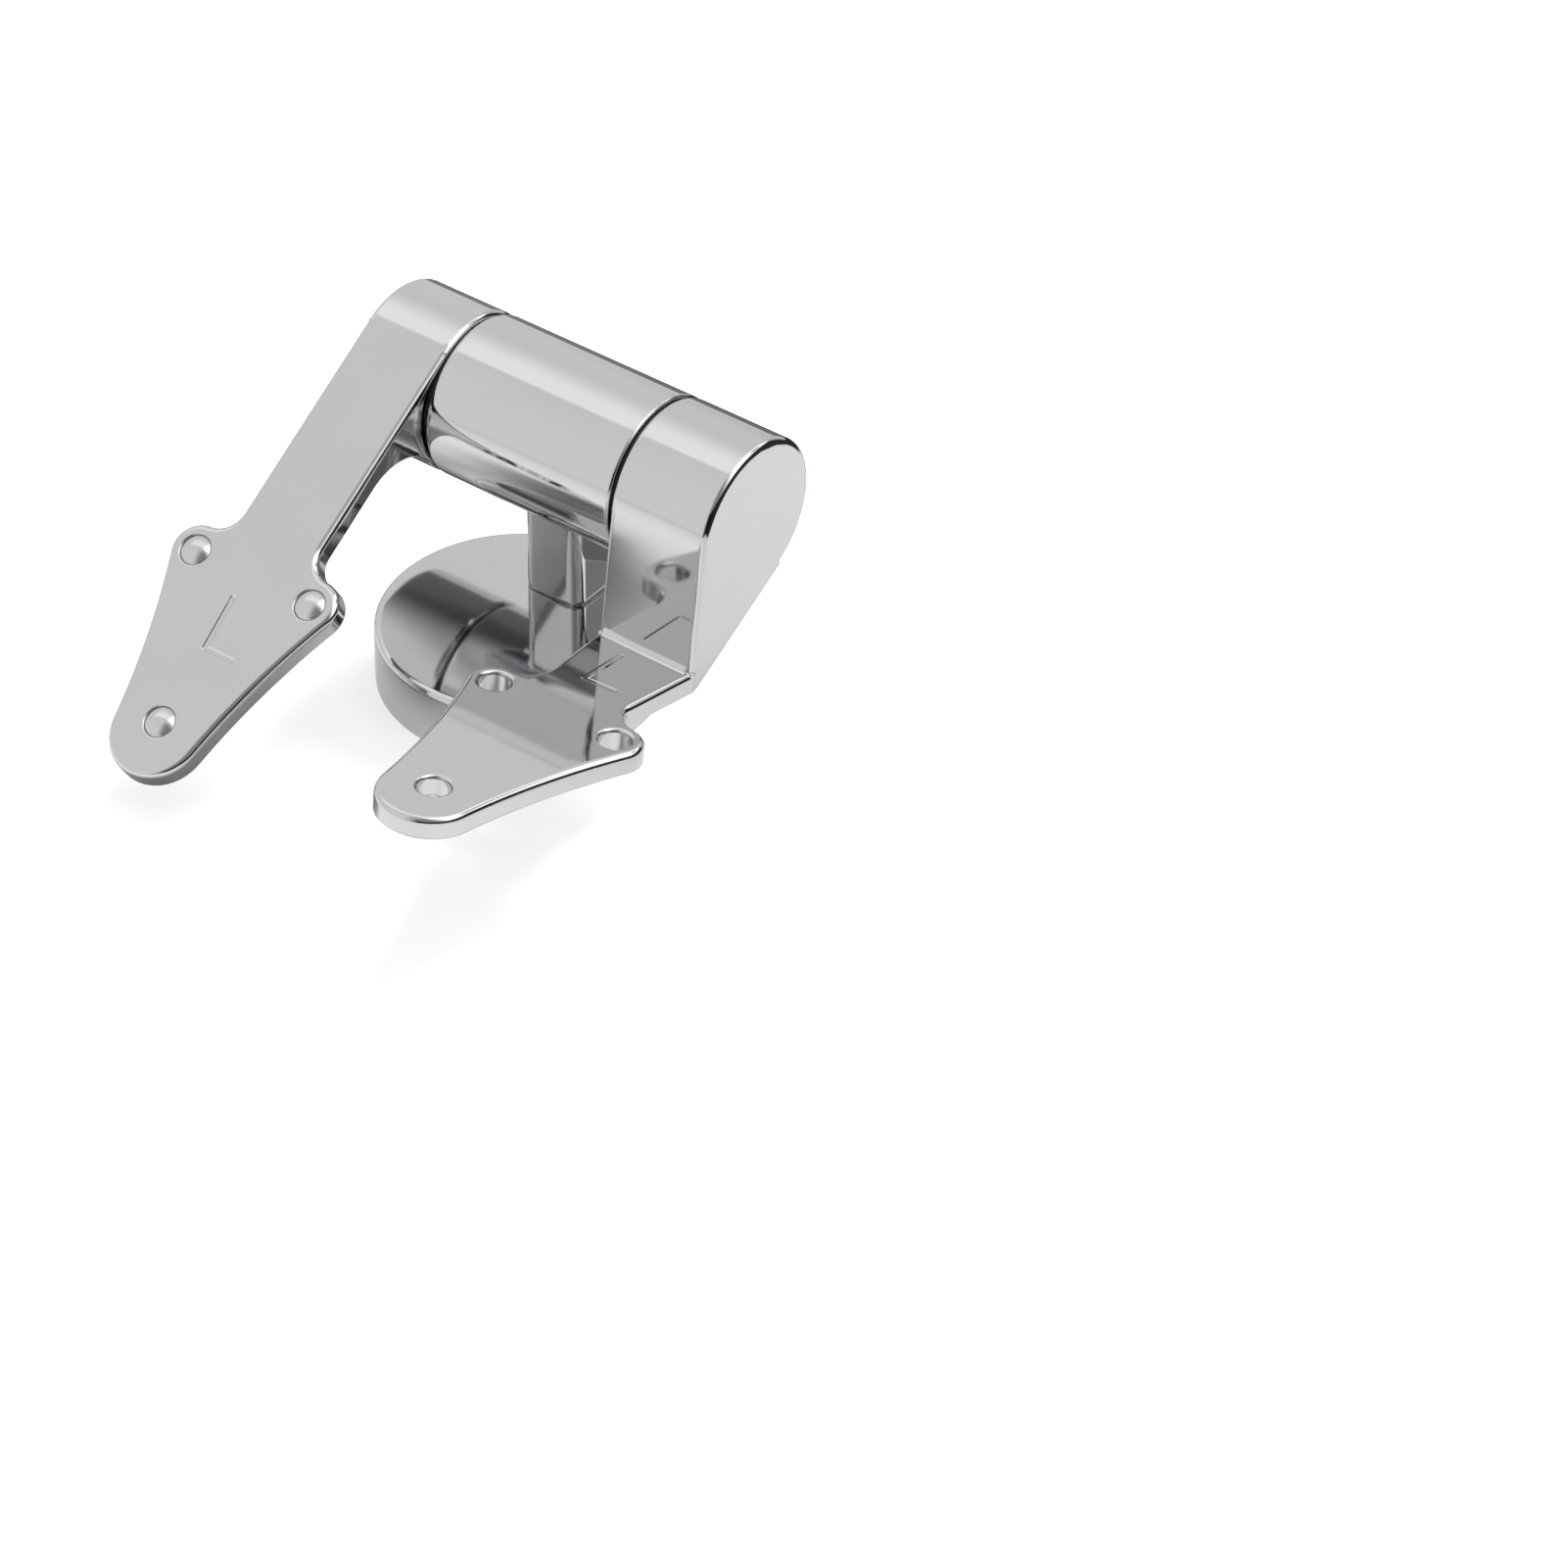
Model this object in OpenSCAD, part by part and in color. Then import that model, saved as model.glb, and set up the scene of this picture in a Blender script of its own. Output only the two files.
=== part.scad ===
// Soft-close toilet seat hinge, left-hand side.
// Round base disc, square post and horizontal barrel, with a lid leaf and a seat leaf that turn on the barrel.
// Millimetres. The origin is the centre of the disc's underside, +X runs along the barrel to the seat leaf,
// -Y runs towards the noses of the leaves and +Z is up.

/* [Pose] */
// How far the lid leaf hangs below level, degrees
lid_drop_deg = 32; // [0:1:40]
// How far the seat leaf is raised above level, degrees
seat_raise_deg = 7.5; // [0:0.5:40]

// How far both leaves open past level, degrees
open_deg = 100; // [90:1:105]

/* [Base disc] */
// Diameter of the base disc
disc_d = 55; // [48:1:65]
// Height of the base disc
disc_h = 12; // [10:0.5:16]
// Radius of the disc's top edge
disc_edge_r = 1.2; // [0.5:0.1:2]
// Core diameter of the M8 fixing thread in the middle of the disc
fix_thread_d = 6.8; // [6:0.1:7.5]
// Depth of the fixing thread
fix_thread_depth = 9; // [6:0.5:9.5]
// Middle diameter of the rubber ring let into the underside
grip_ring_d = 48; // [46:0.5:50]
// Width of the rubber ring
grip_ring_w = 3; // [2:0.1:4]
// Depth of the rubber ring's groove
grip_ring_t = 1.6; // [1:0.1:2.5]

/* [Post] */
// Distance of the barrel axis behind the disc's centre
axis_back = 14.6; // [13:0.1:16]
// Width of the post along the barrel
post_w = 13; // [11:0.5:16]
// Depth of the post across the barrel
post_d = 12; // [11:0.5:15]
// Radius of the post's upright edges
post_corner_r = 2.4; // [1:0.1:3.5]
// Radius of the flare where the post runs into the barrel
post_flare_r = 2; // [1:0.1:3]
// Height of the shadow gap round the foot of the post
foot_gap_h = 0.5; // [0.3:0.1:1]
// Depth of the shadow gap round the foot of the post
foot_gap_in = 0.6; // [0.3:0.1:1]

/* [Barrel] */
// Outer diameter of the barrel and of both leaf rings
barrel_d = 32; // [31:0.5:36]
// Length of the barrel between its end faces
barrel_l = 42.6; // [42:0.1:50]
// Height of the barrel axis over the disc's underside
axis_h = 46; // [42:0.5:52]
// Edge radius at the barrel's lid end
barrel_edge_lid_r = 1.2; // [0.4:0.1:2]
// Edge radius at the barrel's seat end
barrel_edge_seat_r = 0.4; // [0.2:0.1:1.5]
// Bore diameter of the barrel
bore_d = 22; // [21:0.5:24]
// Thickness of the web in the middle of the barrel
barrel_web = 4; // [2:0.5:5]

/* [Post screw] */
// Thread diameter of the screw through the disc into the post
post_screw_d = 6; // [5:0.5:7]
// Head diameter of the post screw
post_screw_head_d = 10; // [9:0.5:11]
// Head height of the post screw
post_screw_head_h = 5.6; // [4:0.1:6]
// Length of screw thread in the post
post_screw_grip = 12; // [8:1:15]
// Key size of the post screw's socket
post_screw_key = 5; // [4:0.5:5.5]
// Diameter of the spring washer
post_washer_d = 11.6; // [11:0.1:12]
// Thickness of the spring washer
post_washer_t = 1.4; // [1:0.1:1.6]

/* [Leaf rings] */
// Width of the lid leaf's ring
lid_ring_w = 18.6; // [18:0.1:22]
// Width of the seat leaf's ring
seat_ring_w = 21.4; // [20:0.1:24]
// Edge radius of the leaf rings
ring_edge_r = 1.2; // [0.5:0.1:1.6]
// Gap between the barrel's end and a ring
seam = 0.5; // [0.5:0.05:0.8]
// Thickness of the bearing washer in that gap
seam_washer_t = 0.4; // [0.3:0.05:0.45]
// Outer diameter of the bearing washer
seam_washer_d = 28.8; // [26:0.2:29]

/* [Leaf plates] */
// Thickness of both plates
plate_t = 4.2; // [3.5:0.1:5]
// Distance between the two side holes of a plate
hole_span = 27.3; // [26:0.1:30]
// Bore of the screw holes
hole_d = 6.2; // [5:0.1:6.5]
// Width of the chamfer at a screw hole's mouth
hole_chamfer = 0.7; // [0.3:0.1:1]
// Radius of the side lobes round the holes
lobe_r = 5.4; // [5.2:0.1:6.5]
// Radius of the nose
nose_r = 9.6; // [8.5:0.1:11]
// Distance of the nose radius's centre beyond the nose hole
nose_set = 1.4; // [-1:0.1:3]
// Width of the neck between ring and lobes
neck_w = 18.6; // [17:0.1:20]
// Radius of the hollow corner between neck and lobe
neck_r = 5; // [4:0.1:7]
// Radius of the hollow flank between lobe and nose
flank_r = 150; // [120:5:300]

/* [Lid leaf] */
// Distance from the axis to the lid leaf's side holes
lid_hole_reach = 53.6; // [50:0.1:60]
// Distance from the side holes to the nose hole of the lid leaf
lid_nose_reach = 31.6; // [30:0.1:36]
// Radius of the hollow under the arm, where it leaves the ring
lid_hollow_r = 12; // [10:0.5:14]
// Height of the domed plugs over the plate
plug_rise = 1.1; // [0.6:0.1:1.6]
// Flat edge left round a plug at the mouth of its hole
plug_lip = 0.3; // [0.2:0.05:0.5]

/* [Seat leaf] */
// Distance from the axis to the seat leaf's side holes
seat_hole_reach = 42.6; // [40:0.1:50]
// Distance from the side holes to the nose hole of the seat leaf
seat_nose_reach = 34.2; // [31:0.1:37]
// Drop of the seat leaf's plate under the axis
seat_drop = 25.8; // [24:0.1:28]
// Slope of the web's back face, degrees
web_back_deg = 35.7; // [30:0.5:42]
// Radius of the heel where the web's back face runs into the underside
web_heel_r = 3.5; // [2:0.5:5]
// Angle by which the neck widens towards the web, degrees
neck_taper_deg = 5; // [0:0.5:8]
// Radius in the bend between web and plate
bend_r = 1.5; // [0.8:0.1:2.5]

/* [Damper] */
// Diameter of the damper's shaft
shaft_d = 10; // [9:0.5:11]
// Width across the flats at the shaft's end
shaft_flats = 8; // [7:0.5:8.5]
// Length of shaft held in a leaf ring
shaft_grip = 12; // [9:0.5:14]
// Diameter of the rotor's hub between its vanes
hub_d = 11.4; // [11.2:0.1:13]
// Vane tip diameter
vane_d = 18.4; // [17:0.1:18.8]
// Angle taken up by a vane, degrees
vane_deg = 20; // [14:1:24]
// Angle taken up by a rib of the case, degrees
rib_deg = 24; // [18:1:26]
// Diameter of the rotor's tail journal
tail_d = 6; // [5:0.5:8]
// Length of the tail journal
tail_l = 2.4; // [1.5:0.1:2.6]
// Thickness of the case's floor
case_floor = 3; // [3:0.1:4]
// Thickness of the cover's flange
cover_t = 3; // [2.8:0.1:3.4]
// Depth of the cover's spigot in the case
spigot_l = 1.4; // [1:0.1:2]
// Width of the key that keeps the case from turning
key_w = 3; // [2:0.1:4]
// Height of that key
key_h = 1.2; // [0.8:0.1:1.6]
// Section diameter of the shaft seal
seal_t = 1.5; // [1.2:0.1:1.8]

/* [Set screws] */
// Thread diameter of the set screws
set_screw_d = 4; // [3:0.5:5]
// Length of the set screws
set_screw_l = 7; // [5:0.5:8]
// Key size of the set screws
set_screw_key = 2; // [1.5:0.1:2.4]
// Direction of the set screws behind the axis, degrees below level
set_screw_deg = 30; // [15:1:40]

/* [Fits] */
// Radial clearance of parts that turn
run_clear = 0.06; // [0.03:0.01:0.1]
// Radial clearance of parts that are held still
seat_clear = 0.03; // [0.02:0.01:0.06]
// Radial clearance round a screw that passes through
pass_clear = 0.3; // [0.2:0.05:0.5]
// End play of the rotor in its chamber
end_play = 0.2; // [0.1:0.05:0.4]

/* [Hidden] */
$fn = 96;
barrel_r = barrel_d / 2;
barrel_half = barrel_l / 2;
ring_start = barrel_half + seam;
shaft_r = shaft_d / 2;
shaft_end = ring_start + shaft_grip;
lid_x = -(ring_start + lid_ring_w / 2);
seat_x = ring_start + seat_ring_w / 2;
floor_at = barrel_web / 2;
chamber_at = floor_at + case_floor;
cover_at = barrel_half - cover_t;
vane_from = chamber_at + end_play;
vane_to = cover_at - spigot_l - end_play;
post_bore_top = disc_h + post_screw_grip + 1;
head_top = disc_h - (post_screw_d * 0.6 + 0.8);

// A plate's outline is a chain of arcs that run into each other: neck corner, lobe, hollow flank and nose.
// It is drawn flat, x across and y forward, with the origin between the side holes.
lobe_x = hole_span / 2;
neck_x = neck_w / 2 + neck_r;
neck_y = -sqrt(pow(neck_r + lobe_r, 2) - pow(neck_x - lobe_x, 2));
// Centre of the flank's circle, which touches the lobe and the nose; nose_y is where the nose's centre lies
function flank_side(nose_y) = sqrt(pow(lobe_x, 2) + pow(nose_y, 2));
function flank_part(nose_y) = let (side = flank_side(nose_y))
    (pow(flank_r + lobe_r, 2) - pow(flank_r + nose_r, 2) + side * side) / (2 * side);
function flank_off(nose_y) = sqrt(pow(flank_r + lobe_r, 2) - pow(flank_part(nose_y), 2));
function flank_x(nose_y) = lobe_x
    + (flank_off(nose_y) * nose_y - flank_part(nose_y) * lobe_x) / flank_side(nose_y);
function flank_y(nose_y) = (flank_part(nose_y) * nose_y + flank_off(nose_y) * lobe_x) / flank_side(nose_y);

// Flat outline of a plate from its root to its nose; the neck widens by taper_deg towards the root
module outline(nose_y, root_y, taper_deg) {
    f_x = flank_x(nose_y);
    f_y = flank_y(nose_y);
    a_lobe = atan2(f_y, f_x - lobe_x);
    a_nose = atan2(f_y - nose_y, f_x);
    tip_x = neck_x - neck_r * cos(taper_deg);
    tip_y = neck_y - neck_r * sin(taper_deg);
    translate([0, nose_y]) circle(nose_r);
    for (s = [0, 1]) mirror([s, 0]) {
        translate([lobe_x, 0]) circle(lobe_r);
        difference() {
            polygon([
                [-1, root_y],
                [tip_x + (tip_y - root_y) * tan(taper_deg), root_y],
                [tip_x, tip_y],
                [neck_x, neck_y],
                [lobe_x, 0],
                [lobe_x + lobe_r * cos(a_lobe), lobe_r * sin(a_lobe)],
                [nose_r * cos(a_nose), nose_y + nose_r * sin(a_nose)],
                [-1, nose_y]
            ]);
            translate([neck_x, neck_y]) circle(neck_r);
            translate([f_x, f_y]) circle(flank_r, $fn = 720);
        }
    }
}

// Whole plate, level, its nose towards -Y and its top at z = top; reach is from the axis to the side holes
module plate(reach, nose_reach, root, taper_deg, top) {
    translate([0, -reach, top - plate_t]) rotate(180) linear_extrude(plate_t)
        outline(nose_reach + nose_set, root - reach, taper_deg);
}

// Three places where a plate is drilled
module at_holes(reach, nose_reach) {
    for (p = [[-hole_span / 2, reach], [hole_span / 2, reach], [0, reach + nose_reach]])
        translate([p[0], -p[1], 0]) children();
}

// Moves a level leaf, drawn about the axis, to its ring and turns it; up is positive
module hang(x, up_deg) {
    translate([x, axis_back, axis_h]) rotate([-up_deg, 0, 0]) children();
}

// Turns what is drawn along +Z to lie along +X
module along_x() {
    rotate([0, 90, 0]) children();
}

// Leaf ring about the axis, both rims rounded
module leaf_ring(w) {
    along_x() rotate_extrude() {
        translate([0, -w / 2]) square([barrel_r - ring_edge_r, w]);
        translate([0, -w / 2 + ring_edge_r]) square([barrel_r, w - 2 * ring_edge_r]);
        for (s = [-1, 1]) translate([barrel_r - ring_edge_r, s * (w / 2 - ring_edge_r)]) circle(ring_edge_r);
    }
}

// Socket for the shaft and threaded hole for the set screw; side is +1 where the shaft comes in from +X
module ring_sockets(w, side) {
    flats_r = shaft_r + seat_clear;
    rotate([-set_screw_deg, 0, 0]) {
        translate([side * w / 2, 0, 0]) mirror([side > 0 ? 1 : 0, 0, 0]) translate([-1, 0, 0]) along_x()
            linear_extrude(shaft_grip + 1.2)
                intersection() {
                    circle(flats_r);
                    square([4 * flats_r, shaft_flats + 2 * seat_clear], center = true);
                }
        rotate([-90, 0, 0]) translate([0, 0, 1]) cylinder(r = set_screw_d / 2 + seat_clear, h = barrel_r + 2);
    }
}

module set_screw() {
    color([0.16, 0.16, 0.17])
    rotate([-set_screw_deg, 0, 0]) rotate([-90, 0, 0]) translate([0, 0, shaft_flats / 2])
        difference() {
            union() {
                translate([0, 0, 0.6]) cylinder(d = set_screw_d, h = set_screw_l - 0.6);
                cylinder(d1 = set_screw_d - 1.2, d2 = set_screw_d, h = 0.6);
            }
            translate([0, 0, set_screw_l - 2]) cylinder(d = set_screw_key / cos(30), h = 3, $fn = 6);
        }
}

module lid_leaf() {
    under = barrel_r - plate_t;
    color([0.78, 0.79, 0.8])
    hang(lid_x, -lid_drop_deg) difference() {
        union() {
            leaf_ring(lid_ring_w);
            plate(lid_hole_reach, lid_nose_reach, 0, 0, barrel_r);
            // Hollow gusset between the ring's front and the arm's underside
            along_x() rotate([0, 0, 90]) translate([0, 0, -lid_ring_w / 2]) linear_extrude(lid_ring_w)
                difference() {
                    translate([-(barrel_r + lid_hollow_r), under - lid_hollow_r])
                        square([barrel_r + lid_hollow_r, lid_hollow_r + plate_t / 2]);
                    translate([-(barrel_r + lid_hollow_r), under - lid_hollow_r]) circle(lid_hollow_r);
                }
        }
        at_holes(lid_hole_reach, lid_nose_reach) {
            translate([0, 0, under - 1]) cylinder(d = hole_d, h = plate_t + 2);
            translate([0, 0, barrel_r - plug_lip])
                cylinder(d1 = hole_d, d2 = hole_d + 4 * plug_lip, h = 2 * plug_lip);
        }
        ring_sockets(lid_ring_w, 1);
    }
}

module lid_hole_plugs() {
    plug_r = hole_d / 2 - seat_clear;
    dome_r = (plug_r * plug_r + plug_rise * plug_rise) / (2 * plug_rise);
    color([0.78, 0.79, 0.8])
    hang(lid_x, -lid_drop_deg) at_holes(lid_hole_reach, lid_nose_reach) {
        translate([0, 0, barrel_r - plate_t + 0.4]) cylinder(r = plug_r, h = plate_t - 0.4 - plug_lip);
        intersection() {
            translate([0, 0, barrel_r - plug_lip + plug_rise - dome_r]) sphere(dome_r);
            translate([0, 0, barrel_r - plug_lip - 0.1]) cylinder(r = plug_r, h = plug_rise + 1);
        }
    }
}

module lid_set_screw() {
    hang(lid_x, -lid_drop_deg) set_screw();
}

// Side profile of the web, x pointing backwards from the axis and y up
module web_profile() {
    under = -(seat_drop + plate_t);
    back_y = barrel_r * sin(web_back_deg);
    back_z = -barrel_r * cos(web_back_deg);
    corner_y = back_y - (back_z - under) / tan(web_back_deg);
    cut = web_heel_r * tan(web_back_deg / 2);
    polygon([
        [0, 0],
        [-barrel_r, 0],
        [-barrel_r, under],
        [corner_y - cut, under],
        [corner_y + cut * cos(web_back_deg), under + cut * sin(web_back_deg)],
        [back_y, back_z]
    ]);
    intersection() {
        translate([corner_y - cut, under + web_heel_r]) circle(web_heel_r);
        translate([-barrel_r, under - 1]) square([barrel_r, web_heel_r]);
    }
}

module seat_leaf() {
    under = -(seat_drop + plate_t);
    root_at = barrel_r - 1;
    color([0.78, 0.79, 0.8])
    hang(seat_x, seat_raise_deg) difference() {
        union() {
            leaf_ring(seat_ring_w);
            plate(seat_hole_reach, seat_nose_reach, root_at, neck_taper_deg, -seat_drop);
            // Web: the side profile, its two front edges rounded like the ring's rims
            intersection() {
                translate([-seat_ring_w / 2, 0, 0]) along_x() rotate(90)
                    linear_extrude(seat_ring_w) web_profile();
                translate([0, 0, under - 1]) linear_extrude(barrel_r - under) {
                    translate([-seat_ring_w / 2, -barrel_r + ring_edge_r])
                        square([seat_ring_w, 2 * barrel_r]);
                    translate([-seat_ring_w / 2 + ring_edge_r, -barrel_r])
                        square([seat_ring_w - 2 * ring_edge_r, 2 * barrel_r]);
                    for (s = [-1, 1])
                        translate([s * (seat_ring_w / 2 - ring_edge_r), -barrel_r + ring_edge_r])
                            circle(ring_edge_r);
                }
            }
            // Hollow radius in the bend
            translate([-seat_ring_w / 2 + ring_edge_r, -barrel_r - bend_r, -seat_drop]) difference() {
                translate([0, 0, -1]) cube([seat_ring_w - 2 * ring_edge_r, bend_r + 1, bend_r + 1]);
                translate([-1, 0, bend_r]) along_x() cylinder(r = bend_r, h = seat_ring_w);
            }
        }
        at_holes(seat_hole_reach, seat_nose_reach) {
            translate([0, 0, under - 1]) cylinder(d = hole_d, h = plate_t + 2);
            translate([0, 0, -seat_drop - hole_chamfer])
                cylinder(d1 = hole_d, d2 = hole_d + 4 * hole_chamfer, h = 2 * hole_chamfer);
        }
        ring_sockets(seat_ring_w, -1);
    }
}

module seat_set_screw() {
    hang(seat_x, seat_raise_deg) set_screw();
}

module base_disc() {
    disc_r = disc_d / 2;
    color([0.72, 0.73, 0.74])
    difference() {
        rotate_extrude() {
            square([disc_r - disc_edge_r, disc_h]);
            square([disc_r, disc_h - disc_edge_r]);
            translate([disc_r - disc_edge_r, disc_h - disc_edge_r]) circle(disc_edge_r);
        }
        translate([0, 0, -1]) cylinder(d = fix_thread_d, h = fix_thread_depth + 1);
        translate([0, 0, -1]) difference() {
            cylinder(d = grip_ring_d + grip_ring_w, h = grip_ring_t + 1);
            translate([0, 0, -1]) cylinder(d = grip_ring_d - grip_ring_w, h = grip_ring_t + 3);
        }
        translate([0, axis_back, 0]) {
            translate([0, 0, -1]) cylinder(r = post_washer_d / 2 + pass_clear, h = head_top + 1);
            cylinder(r = post_screw_d / 2 + pass_clear, h = disc_h + 1);
        }
    }
}

module base_grip_ring() {
    color([0.15, 0.15, 0.15])
    difference() {
        cylinder(d = grip_ring_d + grip_ring_w - 2 * seat_clear, h = grip_ring_t);
        translate([0, 0, -1]) cylinder(d = grip_ring_d - grip_ring_w + 2 * seat_clear, h = grip_ring_t + 2);
    }
}

module post_screw() {
    color([0.6, 0.6, 0.62])
    translate([0, axis_back, 0]) difference() {
        union() {
            translate([0, 0, head_top - post_washer_t - post_screw_head_h])
                cylinder(d = post_screw_head_d, h = post_screw_head_h);
            translate([0, 0, head_top - post_washer_t - 0.5])
                cylinder(d = post_screw_d - 2 * seat_clear,
                    h = disc_h + post_screw_grip - head_top + post_washer_t + 0.5);
        }
        translate([0, 0, head_top - post_washer_t - post_screw_head_h - 1])
            cylinder(d = post_screw_key / cos(30), h = post_screw_head_h / 2 + 1, $fn = 6);
    }
}

module post_spring_washer() {
    color([0.55, 0.55, 0.57])
    translate([0, axis_back, head_top - post_washer_t]) difference() {
        cylinder(d = post_washer_d, h = post_washer_t);
        translate([0, 0, -1]) cylinder(r = post_screw_d / 2 + seat_clear, h = post_washer_t + 2);
    }
}

module post_section(inset) {
    r = post_corner_r - inset;
    for (s = [-1, 1]) for (t = [-1, 1])
        translate([s * (post_w / 2 - post_corner_r), t * (post_d / 2 - post_corner_r)]) circle(r);
    square([post_w - 2 * inset, post_d - 2 * post_corner_r], center = true);
    square([post_w - 2 * post_corner_r, post_d - 2 * inset], center = true);
}

module barrel_housing() {
    foot = disc_h + foot_gap_h;
    flare_x = post_w / 2 + post_flare_r;
    flare_z = barrel_r + post_flare_r;
    color([0.76, 0.77, 0.78])
    difference() {
        union() {
            translate([0, axis_back, axis_h]) along_x() rotate_extrude() {
                translate([0, -barrel_half]) square([barrel_r - barrel_edge_lid_r, barrel_l]);
                translate([0, -barrel_half + barrel_edge_lid_r])
                    square([barrel_r, barrel_l - barrel_edge_lid_r - barrel_edge_seat_r]);
                translate([barrel_r - barrel_edge_seat_r - 1, barrel_half - barrel_edge_seat_r - 1])
                    square([1, barrel_edge_seat_r + 1]);
                translate([barrel_r - barrel_edge_lid_r, -barrel_half + barrel_edge_lid_r])
                    circle(barrel_edge_lid_r);
                translate([barrel_r - barrel_edge_seat_r, barrel_half - barrel_edge_seat_r])
                    circle(barrel_edge_seat_r);
            }
            translate([0, axis_back, foot]) linear_extrude(axis_h - barrel_r / 2 - foot) post_section(0);
            translate([0, axis_back, disc_h]) linear_extrude(foot_gap_h + 1) post_section(foot_gap_in);
            // Flare under the barrel: both ends of the post run into it with a hollow radius
            translate([0, axis_back, axis_h]) intersection() {
                difference() {
                    translate([-flare_x, -post_d / 2 + post_corner_r, -flare_z])
                        cube([2 * flare_x, post_d - 2 * post_corner_r, flare_z]);
                    for (s = [-1, 1]) translate([s * flare_x, -post_d, -flare_z]) rotate([-90, 0, 0])
                        cylinder(r = post_flare_r, h = 2 * post_d);
                }
                cube([2 * flare_x, post_d - 2 * post_corner_r, 2 * axis_h], center = true);
            }
        }
        translate([0, axis_back, axis_h]) for (s = [0, 1]) mirror([s, 0, 0]) along_x() {
            translate([0, 0, floor_at]) cylinder(d = bore_d, h = barrel_l);
            // Key slot along the top of the bore
            translate([-(bore_d / 2 + key_h + seat_clear), -key_w / 2 - seat_clear, floor_at])
                cube([bore_d / 2, key_w + 2 * seat_clear, cover_at - floor_at]);
        }
        translate([0, axis_back, disc_h - 1]) cylinder(d = post_screw_d, h = post_bore_top - disc_h + 1);
    }
}

// Damper parts are drawn for the seat end, about the axis with the shaft towards +X
module damper_case() {
    case_r = bore_d / 2 - seat_clear;
    chamber_r = vane_d / 2 + run_clear;
    difference() {
        union() {
            translate([floor_at, 0, 0]) along_x() cylinder(r = case_r, h = cover_at - floor_at);
            translate([floor_at, -key_w / 2, bore_d / 2 - 1]) cube([cover_at - floor_at, key_w, key_h + 1]);
        }
        translate([chamber_at, 0, 0]) along_x() linear_extrude(cover_at - chamber_at + 1) difference() {
            circle(chamber_r);
            for (s = [0, 180]) rotate(s) intersection() {
                polygon([[0, 0], [30, -30 * tan(rib_deg / 2)], [30, 30 * tan(rib_deg / 2)]]);
                difference() {
                    circle(chamber_r + 1);
                    circle(hub_d / 2 + run_clear);
                }
            }
        }
        translate([cover_at - spigot_l - end_play / 2, 0, 0]) along_x()
            cylinder(r = chamber_r, h = spigot_l + 2);
        translate([chamber_at - tail_l - end_play, 0, 0]) along_x()
            cylinder(r = tail_d / 2 + run_clear, h = tail_l + 2);
    }
}

module damper_cover() {
    groove_r = shaft_r + run_clear + seal_t + seat_clear;
    difference() {
        union() {
            translate([cover_at, 0, 0]) along_x() cylinder(r = bore_d / 2 - seat_clear, h = cover_t);
            translate([cover_at - spigot_l, 0, 0]) along_x()
                cylinder(r = vane_d / 2 + run_clear - seat_clear, h = spigot_l + 1);
        }
        translate([cover_at - spigot_l - 1, 0, 0]) along_x()
            cylinder(r = shaft_r + run_clear, h = cover_t + spigot_l + 2);
        translate([cover_at + cover_t / 2 - seal_t / 2 - seat_clear, 0, 0]) along_x()
            cylinder(r = groove_r, h = seal_t + 2 * seat_clear);
    }
}

module damper_seal() {
    translate([cover_at + cover_t / 2, 0, 0]) along_x() rotate_extrude()
        translate([shaft_r + run_clear + seal_t / 2, 0]) circle(seal_t / 2, $fn = 48);
}

// turn sets the vanes in the chamber, flats_deg the flats in the leaf
module damper_rotor(turn, flats_deg) {
    translate([vane_from - tail_l, 0, 0]) along_x() cylinder(d = tail_d, h = tail_l + 1);
    translate([vane_from, 0, 0]) along_x() cylinder(d = hub_d, h = vane_to - vane_from);
    translate([vane_from, 0, 0]) rotate([turn, 0, 0]) along_x() linear_extrude(vane_to - vane_from)
        for (s = [0, 180]) rotate(s) intersection() {
            circle(vane_d / 2);
            polygon([[0, 0], [30, -30 * tan(vane_deg / 2)], [30, 30 * tan(vane_deg / 2)]]);
        }
    difference() {
        translate([vane_to - 1, 0, 0]) along_x() cylinder(r = shaft_r, h = shaft_end - vane_to + 1);
        rotate([flats_deg, 0, 0]) for (s = [-1, 1])
            translate([ring_start, s * (shaft_flats / 2 + shaft_r) - shaft_r, -2 * shaft_r])
                cube([shaft_grip + 1, 2 * shaft_r, 4 * shaft_r]);
    }
}

module bearing_washer() {
    translate([barrel_half, 0, 0]) along_x() difference() {
        cylinder(d = seam_washer_d, h = seam_washer_t);
        translate([0, 0, -1]) cylinder(r = shaft_r + pass_clear, h = seam_washer_t + 2);
    }
}

module at_seat_end() {
    translate([0, axis_back, axis_h]) children();
}

module at_lid_end() {
    translate([0, axis_back, axis_h]) mirror([1, 0, 0]) children();
}

// The vanes' angle at rest puts the middle of each leaf's swing halfway between the case's ribs
rotor_lid_deg = 90 + (lid_drop_deg + open_deg) / 2;
rotor_seat_deg = 90 + (open_deg - seat_raise_deg) / 2;

module seat_damper_case() {
    color([0.2, 0.2, 0.22]) at_seat_end() damper_case();
}

module seat_damper_cover() {
    color([0.85, 0.85, 0.83]) at_seat_end() damper_cover();
}

module seat_damper_seal() {
    color([0.1, 0.1, 0.1]) at_seat_end() damper_seal();
}

module seat_damper_rotor() {
    color([0.62, 0.63, 0.65]) at_seat_end() damper_rotor(rotor_seat_deg, -seat_raise_deg - set_screw_deg);
}

module seat_bearing_washer() {
    color([0.12, 0.12, 0.13]) at_seat_end() bearing_washer();
}

module lid_damper_case() {
    color([0.2, 0.2, 0.22]) at_lid_end() damper_case();
}

module lid_damper_cover() {
    color([0.85, 0.85, 0.83]) at_lid_end() damper_cover();
}

module lid_damper_seal() {
    color([0.1, 0.1, 0.1]) at_lid_end() damper_seal();
}

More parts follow.
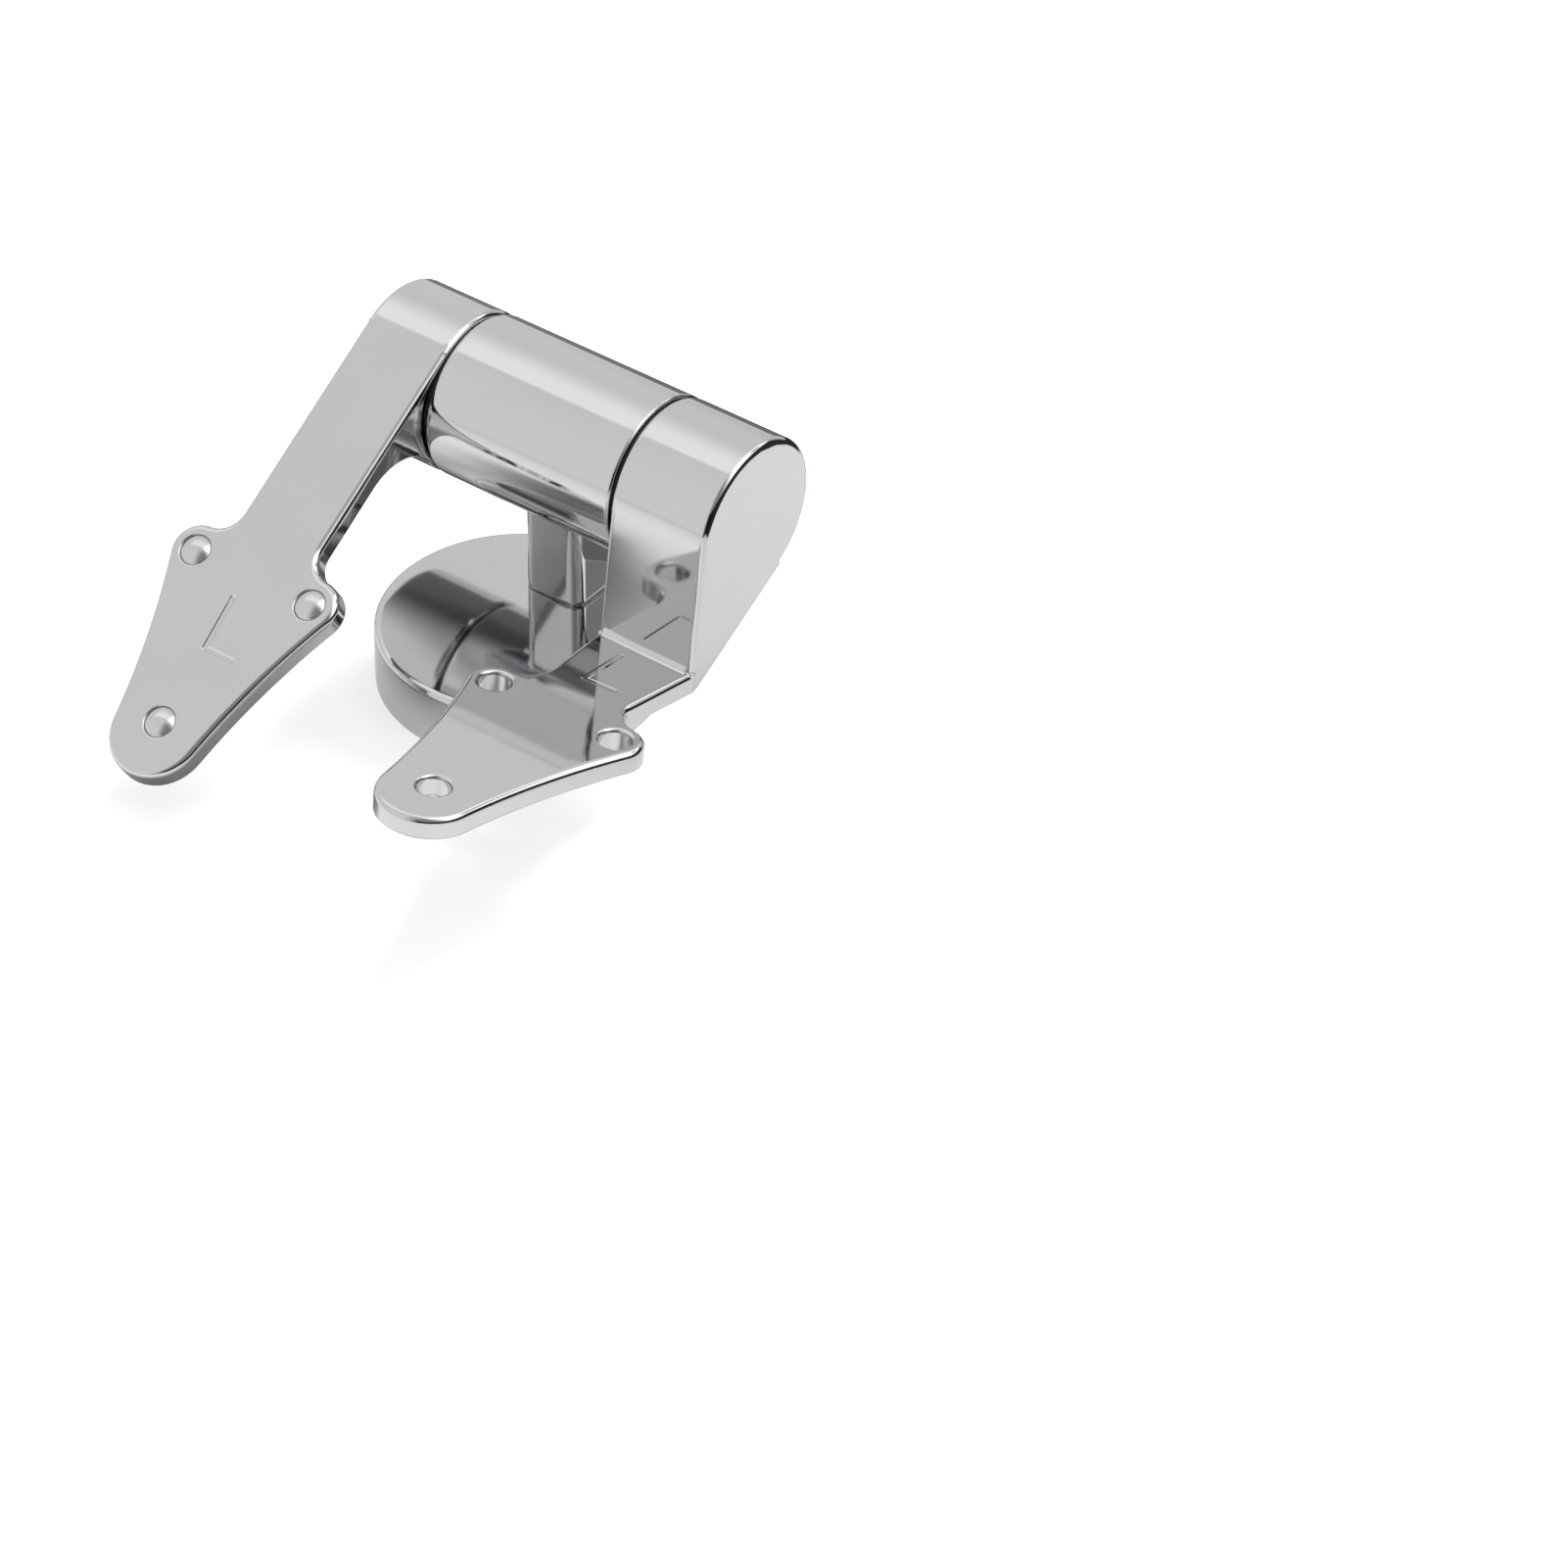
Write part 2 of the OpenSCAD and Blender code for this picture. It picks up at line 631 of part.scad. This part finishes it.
module lid_damper_rotor() {
    color([0.62, 0.63, 0.65]) at_lid_end() damper_rotor(rotor_lid_deg, lid_drop_deg - set_screw_deg);
}

module lid_bearing_washer() {
    color([0.12, 0.12, 0.13]) at_lid_end() bearing_washer();
}

base_disc();
base_grip_ring();
barrel_housing();
post_screw();
post_spring_washer();
lid_damper_case();
lid_damper_cover();
lid_damper_seal();
lid_damper_rotor();
lid_bearing_washer();
seat_damper_case();
seat_damper_cover();
seat_damper_seal();
seat_damper_rotor();
seat_bearing_washer();
lid_leaf();
lid_hole_plugs();
lid_set_screw();
seat_leaf();
seat_set_screw();
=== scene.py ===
import math

import bmesh
import bpy
from mathutils import Matrix, Vector


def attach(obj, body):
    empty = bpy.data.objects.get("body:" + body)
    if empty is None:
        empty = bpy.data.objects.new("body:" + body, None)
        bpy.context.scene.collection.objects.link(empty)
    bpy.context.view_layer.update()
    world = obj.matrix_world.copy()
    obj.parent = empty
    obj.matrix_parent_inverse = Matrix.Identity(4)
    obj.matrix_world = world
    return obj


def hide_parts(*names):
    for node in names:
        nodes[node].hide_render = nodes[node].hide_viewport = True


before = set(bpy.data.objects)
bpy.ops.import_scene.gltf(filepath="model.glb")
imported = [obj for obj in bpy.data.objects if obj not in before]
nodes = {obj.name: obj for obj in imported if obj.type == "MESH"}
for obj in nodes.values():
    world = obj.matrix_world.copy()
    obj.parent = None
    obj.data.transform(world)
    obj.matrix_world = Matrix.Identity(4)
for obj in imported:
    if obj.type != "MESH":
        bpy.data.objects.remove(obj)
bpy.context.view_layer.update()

# Sizes in millimetres, as the solids have them
AXIS_BACK = 14.6
AXIS_HIGH = 46.0
BARREL_R = 16.0
PLATE_T = 4.2
LID_X = -31.1
SEAT_X = 32.5
LID_DROP = 32.0
SEAT_RAISE = 7.5
SEAT_DROP = 25.8
MM = 0.001


class Value:
    """A number socket that can be added, multiplied and compared like a number."""

    def __init__(self, tree, socket):
        self.tree = tree
        self.socket = socket

    def _math(self, operation, *others, clamp=False):
        made = self.tree.nodes.new("ShaderNodeMath")
        made.operation = operation
        made.use_clamp = clamp
        for i, part in enumerate((self,) + others):
            if isinstance(part, Value):
                self.tree.links.new(part.socket, made.inputs[i])
            else:
                made.inputs[i].default_value = part
        return Value(self.tree, made.outputs[0])

    def _lift(self, number):
        return number if isinstance(number, Value) else Value.of(self.tree, number)

    @classmethod
    def of(cls, tree, number):
        made = tree.nodes.new("ShaderNodeValue")
        made.outputs[0].default_value = number
        return cls(tree, made.outputs[0])

    def __add__(self, other):
        return self._math("ADD", other)

    __radd__ = __add__

    def __mul__(self, other):
        return self._math("MULTIPLY", other)

    __rmul__ = __mul__

    def __sub__(self, other):
        return self._math("SUBTRACT", other)

    def __rsub__(self, other):
        return self._lift(other)._math("SUBTRACT", self)

    def __truediv__(self, other):
        return self._math("DIVIDE", other)

    def __pow__(self, other):
        return self._math("POWER", other)

    def smallest(self, other):
        return self._math("MINIMUM", other)

    def held(self):
        return self._math("ADD", 0.0, clamp=True)

    def root(self):
        return self._math("SQRT")

    def rise(self, low, high):
        """0 below low, 1 above high, with a smooth step between."""
        t = ((self - low) / (high - low)).held()
        return t * t * (3.0 - 2.0 * t)


class Finish:
    """A node material, made from the few nodes that this object's finishes use."""

    def __init__(self, name):
        self.material = bpy.data.materials.new(name)
        self.material.use_nodes = True
        self.tree = self.material.node_tree
        self.tree.nodes.clear()
        self.out = self.node("ShaderNodeOutputMaterial")

    def node(self, kind, settings=None, **inputs):
        made = self.tree.nodes.new(kind)
        for key, setting in (settings or {}).items():
            setattr(made, key, setting)
        for key, given in inputs.items():
            socket = made.inputs[key.replace("_", " ")]
            if isinstance(given, Value):
                self.tree.links.new(given.socket, socket)
            elif hasattr(given, "is_output"):
                self.tree.links.new(given, socket)
            else:
                socket.default_value = given
        return made

    def place(self):
        """The point on the piece in millimetres, as three values."""
        coordinates = self.node("ShaderNodeTexCoord").outputs["Object"]
        split = self.node("ShaderNodeSeparateXYZ", Vector=coordinates)
        return tuple(Value(self.tree, split.outputs[i]) * 1000.0 for i in range(3))

    def grain(self, size, detail=2.0, rough=0.5):
        """Soft noise between 0 and 1 whose patches are about size millimetres across."""
        coordinates = self.node("ShaderNodeTexCoord").outputs["Object"]
        look = {"Scale": 1000.0 / size, "Detail": detail, "Roughness": rough}
        noise = self.node("ShaderNodeTexNoise", Vector=coordinates, **look)
        return Value(self.tree, noise.outputs["Fac"])

    def tone(self, fac, first, second):
        """A colour between first and second."""
        mix = self.tree.nodes.new("ShaderNodeMix")
        mix.data_type = "RGBA"
        self.tree.links.new(fac.socket, mix.inputs[0])
        mix.inputs[6].default_value = (*first, 1.0)
        mix.inputs[7].default_value = (*second, 1.0)
        return mix.outputs[2]

    def relief(self, height_mm, edge_mm=0.0):
        """The surface's normal over a height, with the edges rounded, both in millimetres."""
        bump = self.node("ShaderNodeBump", Height=height_mm * MM, Distance=1.0)
        if edge_mm:
            edge = self.node("ShaderNodeBevel", {"samples": 8}, Radius=edge_mm * MM)
            self.tree.links.new(edge.outputs["Normal"], bump.inputs["Normal"])
        return bump.outputs["Normal"]

    def surface(self, base, rough, normal=None, **fixed):
        shader = self.node("ShaderNodeBsdfPrincipled", Base_Color=base, Roughness=rough, **fixed)
        if normal is not None:
            self.tree.links.new(normal, shader.inputs["Normal"])
        self.tree.links.new(shader.outputs[0], self.out.inputs["Surface"])
        return self.material


def groove(x, u, strokes, width, depth):
    """Height of a round-bottomed groove that follows the strokes drawn on a plate."""
    near = None
    for (ax, au), (bx, bu) in strokes:
        dx, du = bx - ax, bu - au
        run = dx * dx + du * du
        t = (((x - ax) * dx + (u - au) * du) / run).held()
        off = ((x - ax - t * dx) ** 2.0 + (u - au - t * du) ** 2.0).root()
        near = off if near is None else near.smallest(off)
    return (near.rise(width * 0.18, width * 0.5) - 1.0) * depth


def polished_chrome(name, edge_mm, letter=None):
    """Mirror plating with a trace of waviness; letter cuts the side mark into a plate's top."""
    finish = Finish(name)
    x, y, z = finish.place()
    cloud = finish.grain(14.0, 1.5)
    smear = finish.grain(3.2, 3.0)
    height = finish.grain(9.0, 1.0) * 0.004
    if letter:
        turn = math.radians(letter["up"])
        back, up = y - AXIS_BACK, z - AXIS_HIGH
        u = back * -math.cos(turn) + up * math.sin(turn)
        w = back * math.sin(turn) + up * math.cos(turn)
        cut = groove(x - letter["x"], u, letter["strokes"], 1.4, 0.6)
        height = height + cut * w.rise(letter["top"] - 0.6, letter["top"] - 0.4)
    return finish.surface(
        finish.tone(cloud, (0.595, 0.60, 0.61), (0.625, 0.63, 0.635)),
        0.035 + cloud * 0.03 + smear * 0.02,
        finish.relief(height, edge_mm),
        Metallic=1.0,
    )


def moulded(name, dark, light, rough, size, bumps):
    """Rubber or plastic with a fine moulded grain."""
    finish = Finish(name)
    mottle = finish.grain(size * 8.0, 3.0)
    fine = finish.grain(size, 2.0)
    return finish.surface(finish.tone(mottle, dark, light), rough + fine * 0.12, finish.relief(fine * bumps))


def machined(name, dark, light, rough):
    """Turned steel: fine rings round the barrel's axis."""
    finish = Finish(name)
    x, y, z = finish.place()
    cloud = finish.grain(5.0, 3.0)
    at = x * 2.4 + z * 0.3
    rings = finish.node("ShaderNodeTexNoise", {"noise_dimensions": "1D"}, W=at, Scale=3.0, Detail=3.0)
    line = Value(finish.tree, rings.outputs["Fac"])
    colour = finish.tone(cloud, dark, light)
    return finish.surface(colour, rough + line * 0.16, finish.relief(line * 0.012), Metallic=1.0)


# Side marks: two strokes on each plate, as distances across the leaf and from its axis
LID_LETTER = {
    "x": LID_X,
    "up": -LID_DROP,
    "top": BARREL_R,
    "strokes": [((-1.0, 58.6), (-0.3, 69.3)), ((-0.3, 69.3), (5.8, 69.3))],
}
SEAT_LETTER = {
    "x": SEAT_X,
    "up": SEAT_RAISE,
    "top": -SEAT_DROP,
    "strokes": [((-2.5, 19.8), (-2.6, 30.5)), ((-2.6, 30.5), (3.8, 30.1))],
}

chrome = polished_chrome("polished_chrome", 0.8)
finishes = {
    "base_disc": chrome,
    "barrel_housing": chrome,
    "lid_hole_plugs": chrome,
    "lid_leaf": polished_chrome("polished_chrome_lid_leaf", 0.4, LID_LETTER),
    "seat_leaf": polished_chrome("polished_chrome_seat_leaf", 0.4, SEAT_LETTER),
    "base_grip_ring": moulded("grip_rubber", (0.05, 0.05, 0.052), (0.09, 0.09, 0.092), 0.6, 0.3, 0.02),
    "post_screw": machined("zinc_plated_screw", (0.55, 0.57, 0.60), (0.66, 0.67, 0.69), 0.2),
}
finishes["post_spring_washer"] = finishes["post_screw"]
set_steel = machined("blackened_set_screw", (0.07, 0.07, 0.075), (0.12, 0.12, 0.125), 0.34)
nylon = moulded("damper_nylon", (0.12, 0.12, 0.13), (0.17, 0.17, 0.18), 0.46, 0.25, 0.015)
acetal = moulded("cover_acetal", (0.74, 0.74, 0.71), (0.82, 0.82, 0.79), 0.36, 0.3, 0.008)
nitrile = moulded("seal_nitrile", (0.03, 0.03, 0.032), (0.06, 0.06, 0.062), 0.4, 0.2, 0.008)
steel = machined("rotor_steel", (0.52, 0.53, 0.55), (0.62, 0.63, 0.65), 0.24)
washer = moulded("washer_acetal", (0.07, 0.07, 0.075), (0.10, 0.10, 0.106), 0.3, 0.25, 0.008)
for end in ("lid", "seat"):
    finishes[end + "_damper_case"] = nylon
    finishes[end + "_damper_cover"] = acetal
    finishes[end + "_damper_seal"] = nitrile
    finishes[end + "_damper_rotor"] = steel
    finishes[end + "_bearing_washer"] = washer
    finishes[end + "_set_screw"] = set_steel
for name, piece in nodes.items():
    piece.data.materials.clear()
    piece.data.materials.append(finishes[name])


# Plates with a polished round edge
HOLE_SPAN = 27.3
HOLE_R = 3.1
LOBE_R = 5.4
NOSE_R = 9.6
NOSE_SET = 1.4
NECK_HALF = 9.3
NECK_R = 5.0
FLANK_R = 150.0
EDGE_R = 1.3
EDGE_STEPS = 8
HOLE_SIDES = 72
TRACE = 0.01


def arc(centre, r, first, last, hollow=False):
    """Points of a plate's outline along an arc, each with the direction that faces out of the metal."""
    steps = max(3, round(abs(last - first) * r / 0.5))
    out = -1.0 if hollow else 1.0
    points = []
    for i in range(steps + 1):
        turn = first + (last - first) * i / steps
        ray = Vector((math.cos(turn), math.sin(turn)))
        points.append((Vector(centre) + ray * r, ray * out))
    return points


def plate_outline(nose_y, root_y, taper):
    """Round the plate from its root past the right lobe and the nose to the root again, the nose to +Y."""
    lobe_x = HOLE_SPAN / 2.0
    neck = Vector((NECK_HALF + NECK_R, 0.0))
    neck.y = -math.sqrt((NECK_R + LOBE_R) ** 2 - (neck.x - lobe_x) ** 2)
    side = math.hypot(lobe_x, nose_y)
    part = ((FLANK_R + LOBE_R) ** 2 - (FLANK_R + NOSE_R) ** 2 + side * side) / (2.0 * side)
    off = math.sqrt((FLANK_R + LOBE_R) ** 2 - part * part)
    flank = Vector((lobe_x + (off * nose_y - part * lobe_x) / side, (part * nose_y + off * lobe_x) / side))
    at_neck = math.atan2(-neck.y, lobe_x - neck.x)
    at_lobe = math.atan2(flank.y, flank.x - lobe_x)
    at_nose = math.atan2(flank.y - nose_y, flank.x)
    out = Vector((math.cos(taper), math.sin(taper)))
    tip = neck - out * NECK_R
    root = Vector((tip.x + (tip.y - root_y) * math.tan(taper), root_y))
    half = [(root, out)]
    half += arc(neck, NECK_R, math.pi + taper, at_neck, hollow=True)
    half += arc((lobe_x, 0.0), LOBE_R, at_neck - math.pi, at_lobe)[1:]
    half += arc(flank, FLANK_R, math.pi + at_lobe, math.pi + at_nose, hollow=True)[1:]
    half += arc((0.0, nose_y), NOSE_R, at_nose, math.pi / 2.0)[1:]
    mirrored = [(Vector((-at.x, at.y)), Vector((-out.x, out.y))) for at, out in reversed(half[:-1])]
    return half + mirrored


def rounded_plate(mesh, seat_at, nose_y, root_y, taper, mouth):
    """Adds a plate to mesh: seat_at puts its drawn points into the leaf, mouth rounds the holes' mouths."""
    rows = [(0.0, 0.0), (0.0, PLATE_T - EDGE_R)]
    for i in range(1, EDGE_STEPS + 1):
        turn = math.pi / 2.0 * i / EDGE_STEPS
        rows.append((EDGE_R * (1.0 - math.cos(turn)), PLATE_T - EDGE_R * (1.0 - math.sin(turn))))
    outline = plate_outline(nose_y, root_y, taper)
    wall = []
    for inset, z in rows:
        wall.append([mesh.verts.new(seat_at(*(at - out * inset), z)) for at, out in outline])
    for low, high in zip(wall, wall[1:]):
        for i in range(len(outline) - 1):
            mesh.faces.new((low[i], low[i + 1], high[i + 1], high[i]))
    mesh.faces.new([row[0] for row in wall] + [row[-1] for row in reversed(wall)])
    bottom = [mesh.edges.get((wall[0][i - 1], wall[0][i])) for i in range(len(outline))]
    top = [mesh.edges.get((wall[-1][i - 1], wall[-1][i])) for i in range(len(outline))]
    turns = [math.tau * i / HOLE_SIDES for i in range(HOLE_SIDES)]
    for x, y in ((-HOLE_SPAN / 2.0, 0.0), (HOLE_SPAN / 2.0, 0.0), (0.0, nose_y - NOSE_SET)):
        rows = [(HOLE_R, 0.0)]
        for i in range(EDGE_STEPS + 1):
            turn = math.pi / 2.0 * i / EDGE_STEPS
            rows.append((HOLE_R + mouth * (1.0 - math.cos(turn)), PLATE_T - mouth * (1.0 - math.sin(turn))))
        bore = []
        for r, z in rows:
            drawn = [(x + r * math.cos(turn), y + r * math.sin(turn), z) for turn in turns]
            bore.append([mesh.verts.new(seat_at(*point)) for point in drawn])
        for low, high in zip(bore, bore[1:]):
            for i in range(HOLE_SIDES):
                mesh.faces.new((low[i - 1], low[i], high[i], high[i - 1]))
        bottom += [mesh.edges.get((bore[0][i - 1], bore[0][i])) for i in range(HOLE_SIDES)]
        top += [mesh.edges.get((bore[-1][i - 1], bore[-1][i])) for i in range(HOLE_SIDES)]
    bmesh.ops.triangle_fill(mesh, edges=bottom, use_beauty=True)
    bmesh.ops.triangle_fill(mesh, edges=top, use_beauty=True)
    bmesh.ops.recalc_face_normals(mesh, faces=mesh.faces)


def ring_of(node, low, high, place):
    """The leaf without its plate: a merged copy of the solid, less a block from low to high, drawn level."""
    merged = bmesh.new()
    merged.from_mesh(node.data)
    bmesh.ops.remove_doubles(merged, verts=merged.verts, dist=2e-6)
    copy = bpy.data.meshes.new("ring")
    merged.to_mesh(copy)
    merged.free()
    if "custom_normal" in copy.attributes:
        copy.attributes.remove(copy.attributes["custom_normal"])
    block = bmesh.new()
    bmesh.ops.create_cube(block, size=1.0)
    for corner in block.verts:
        across, along, up = (low[i] + (high[i] - low[i]) * (corner.co[i] + 0.5) for i in range(3))
        corner.co = place(across, along, up)
    bmesh.ops.recalc_face_normals(block, faces=block.faces)
    block_mesh = bpy.data.meshes.new("block")
    block.to_mesh(block_mesh)
    block.free()
    whole = bpy.data.objects.new("ring", copy)
    cutter = bpy.data.objects.new("block", block_mesh)
    for made in (whole, cutter):
        bpy.context.collection.objects.link(made)
    cut = whole.modifiers.new("plate_off", "BOOLEAN")
    cut.operation = "DIFFERENCE"
    cut.solver = "EXACT"
    cut.object = cutter
    bpy.context.view_layer.update()
    shaped = bpy.data.meshes.new_from_object(whole.evaluated_get(bpy.context.evaluated_depsgraph_get()))
    for made in (whole, cutter):
        bpy.data.objects.remove(made)
    return shaped


def polished_leaf(name, body, x_at, turn_deg, reach, nose_reach, top, root, taper_deg, mouth, block, finish):
    """Ring and plate of one leaf as one finished piece, in the place of its solid."""
    turn = math.radians(turn_deg)

    def place(x, y, z):
        back = AXIS_BACK + y * math.cos(turn) + z * math.sin(turn)
        up = AXIS_HIGH - y * math.sin(turn) + z * math.cos(turn)
        return Vector(((x_at + x) * MM, back * MM, up * MM))

    def seat_at(x, y, z):
        return place(-x, -y - reach, top - PLATE_T + z)

    mesh = bmesh.new()
    rounded_plate(mesh, seat_at, nose_reach + NOSE_SET, root - reach, math.radians(taper_deg), mouth)
    mesh.from_mesh(ring_of(nodes[name], block[0], block[1], place))
    data = bpy.data.meshes.new(name + "_polished")
    mesh.to_mesh(data)
    mesh.free()
    data.shade_smooth()
    data.set_sharp_from_angle(angle=math.radians(35.0))
    data.materials.clear()
    data.materials.append(finish)
    piece = bpy.data.objects.new(name + "_polished", data)
    bpy.context.collection.objects.link(piece)
    even = piece.modifiers.new("even_light", "WEIGHTED_NORMAL")
    even.mode = "FACE_AREA_WITH_ANGLE"
    even.weight = 80
    even.keep_sharp = True
    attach(piece, body)
    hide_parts(name)
    return piece


polished_leaf(
    "lid_leaf",
    "lid",
    LID_X,
    -LID_DROP,
    reach=53.6,
    nose_reach=31.6,
    top=BARREL_R,
    root=0.0,
    taper_deg=0.0,
    mouth=0.3,
    block=((-25.0, -110.0, BARREL_R - PLATE_T - TRACE), (25.0, -TRACE, BARREL_R + 5.0)),
    finish=finishes["lid_leaf"],
)
polished_leaf(
    "seat_leaf",
    "seat",
    SEAT_X,
    SEAT_RAISE,
    reach=42.6,
    nose_reach=34.2,
    top=-SEAT_DROP,
    root=BARREL_R,
    taper_deg=5.0,
    mouth=0.7,
    block=((-25.0, -110.0, -SEAT_DROP - PLATE_T - 5.0), (25.0, -BARREL_R - TRACE, -SEAT_DROP + TRACE)),
    finish=finishes["seat_leaf"],
)

# Floor, white to the camera; to all other rays its colour carries painted shade (under the barrel, under the
# lid plate in front, behind the disc and far to the right), and mirror rays see a painted glow beside the
# disc, all shaped after the surroundings that the chrome mirrors
FLOOR_R = 0.6
floor_mesh = bpy.data.meshes.new("studio_floor")
turns = [math.tau * i / 96 for i in range(96)]
rim = [(FLOOR_R * math.cos(turn), FLOOR_R * math.sin(turn), -0.0002) for turn in turns]
floor_mesh.from_pydata(rim, [], [tuple(range(96))])
floor = bpy.data.objects.new("studio_floor", floor_mesh)
bpy.context.collection.objects.link(floor)
finish = Finish("studio_floor")
path = finish.node("ShaderNodeLightPath")
eye_ray = Value(finish.tree, path.outputs["Is Camera Ray"])
mirror_ray = Value(finish.tree, path.outputs["Is Glossy Ray"])
across, along, _ = finish.place()
# Painted shade: masks that darken the floor's colour under the barrel, under the lid plate in front and
# behind the disc, so the chrome mirrors a painted dark floor there
painted_shade_under_barrel = ((across + 28.0) ** 2.0 + (along - 12.0) ** 2.0).root().rise(18.0, 50.0)
painted_shade_in_front = ((across + 22.0) ** 2.0 + (along + 54.0) ** 2.0).root().rise(10.0, 34.0)
painted_shade_behind = along.rise(-10.0, 25.0) * (1.0 - across.rise(35.0, 65.0))
to_right = across * 0.8 + along * 0.6
# Painted shade: the floor darkens to the right and turns near black beyond about 138 mm to the right and
# back, a painted dark reflection in the chrome
right = (1.0 - to_right.rise(15.0, 60.0) * 0.22) * (1.0 - to_right.rise(124.0, 138.0) * 0.97)
# Painted shade: these masks multiplied darken the floor colour for every ray but the camera's
mirrored = (painted_shade_under_barrel * 0.45 + 0.55) * (painted_shade_in_front * 0.5 + 0.5) * (1.0 - painted_shade_behind * 0.85) * right
shade = (mirrored + eye_ray).held()
from_middle = (across ** 2.0 + along ** 2.0).root()
# Painted light: a patch of floor by the disc glows in mirror rays only, brightening what the chrome reflects
# there
painted_glow_by_disc = (1.0 - from_middle.rise(28.0, 46.0)) * (1.0 - along.rise(-5.0, 20.0))
paper = finish.node("ShaderNodeBsdfDiffuse", Color=finish.tone(shade, (0.0, 0.0, 0.0), (0.83, 0.83, 0.83)))
# White floor for the camera, plus the painted glow by the disc for mirror rays
white_and_painted_glow = eye_ray * 0.6 + mirror_ray * painted_glow_by_disc * 0.4
lit = finish.node("ShaderNodeEmission", Color=(1.0, 1.0, 1.0, 1.0), Strength=white_and_painted_glow)
both = finish.node("ShaderNodeAddShader")
finish.tree.links.new(paper.outputs[0], both.inputs[0])
finish.tree.links.new(lit.outputs[0], both.inputs[1])
finish.tree.links.new(both.outputs[0], finish.out.inputs["Surface"])
floor_mesh.materials.append(finish.material)

world = bpy.data.worlds.new("studio")
bpy.context.scene.world = world
world.use_nodes = True
tree = world.node_tree
tree.nodes.clear()
path = tree.nodes.new("ShaderNodeLightPath")
toward = tree.nodes.new("ShaderNodeSeparateXYZ")
tree.links.new(tree.nodes.new("ShaderNodeTexCoord").outputs["Generated"], toward.inputs[0])
dir_x, dir_y, dir_z = (Value(tree, toward.outputs[i]) for i in range(3))
eye_ray = Value(tree, path.outputs["Is Camera Ray"])
soft_ray = Value(tree, path.outputs["Is Diffuse Ray"])
# The room: pale walls, a bright strip overhead, a window with a bar at the back right, a dark gap below it
walls = 0.91 - dir_y.rise(-0.9, 0.2) * 0.065 - dir_y.rise(0.80, 0.92) * 0.16
strip = dir_y.rise(-0.13, -0.07) * (1.0 - dir_y.rise(0.12, 0.60)) * dir_z.rise(0.45, 0.70)
window = dir_x.rise(0.0, 0.2) * dir_z.rise(0.38, 0.46) * dir_y.rise(-0.25, 0.05)
bar = 1.0 - ((dir_x - 0.454) ** 2.0 + (dir_y - 0.627) ** 2.0).root().rise(0.08, 0.14)
gap = dir_x.rise(0.10, 0.35) * (1.0 - dir_z.rise(0.34, 0.42))
dim = dir_x.rise(-0.25, 0.35) * (1.0 - dir_y.rise(-0.45, -0.10))
bright = (walls + strip * 0.35 + window * 0.85 * (1.0 - bar)) * (1.0 - bar * 0.55)
room = bright * (1.0 - gap * 0.96) * (1.0 - dim * 0.65)
level = eye_ray + (1.0 - eye_ray) * room * (1.0 - soft_ray * 0.5)
ground = tree.nodes.new("ShaderNodeBackground")
ground.inputs["Color"].default_value = (1.0, 1.0, 1.0, 1.0)
tree.links.new(level.socket, ground.inputs["Strength"])
out = tree.nodes.new("ShaderNodeOutputWorld")
tree.links.new(ground.outputs[0], out.inputs[0])


def softbox(name, at, to, width, height, watts):
    """A soft lamp that faces the point to."""
    lamp = bpy.data.lights.new(name, "AREA")
    lamp.shape = "RECTANGLE"
    lamp.size = width
    lamp.size_y = height
    lamp.energy = watts
    held = bpy.data.objects.new(name, lamp)
    bpy.context.collection.objects.link(held)
    held.location = at
    held.rotation_euler = (Vector(to) - Vector(at)).to_track_quat("-Z", "Y").to_euler()
    return held


key_light = softbox("back_softbox", (-0.05, 0.85, 0.85), (0, 0, 0.03), 0.7, 0.5, 22.5)
key_light.visible_glossy = False

# Camera where the photograph was taken from
azimuth, elevation, roll = math.radians(35.8684), math.radians(39.287), math.radians(1.1067)
flat = math.cos(elevation)
back = Vector((math.sin(azimuth) * flat, -math.cos(azimuth) * flat, math.sin(elevation)))
level_right = Vector((math.cos(azimuth), math.sin(azimuth), 0.0))
level_up = back.cross(level_right)
right = math.cos(roll) * level_right + math.sin(roll) * level_up
up = -math.sin(roll) * level_right + math.cos(roll) * level_up
eye = (back * 1101.2691 + right * 49.0249 + up * -21.3393) * MM
lens = bpy.data.cameras.new("camera")
lens.lens = 6000.0 / 1601.0 * 36.0
lens.clip_end = 20.0
camera = bpy.data.objects.new("camera", lens)
bpy.context.collection.objects.link(camera)
camera.matrix_world = Matrix.Translation(eye) @ Matrix((right, up, back)).transposed().to_4x4()
bpy.context.scene.camera = camera
bpy.context.scene.view_settings.view_transform = "Standard"

bpy.context.view_layer.update()
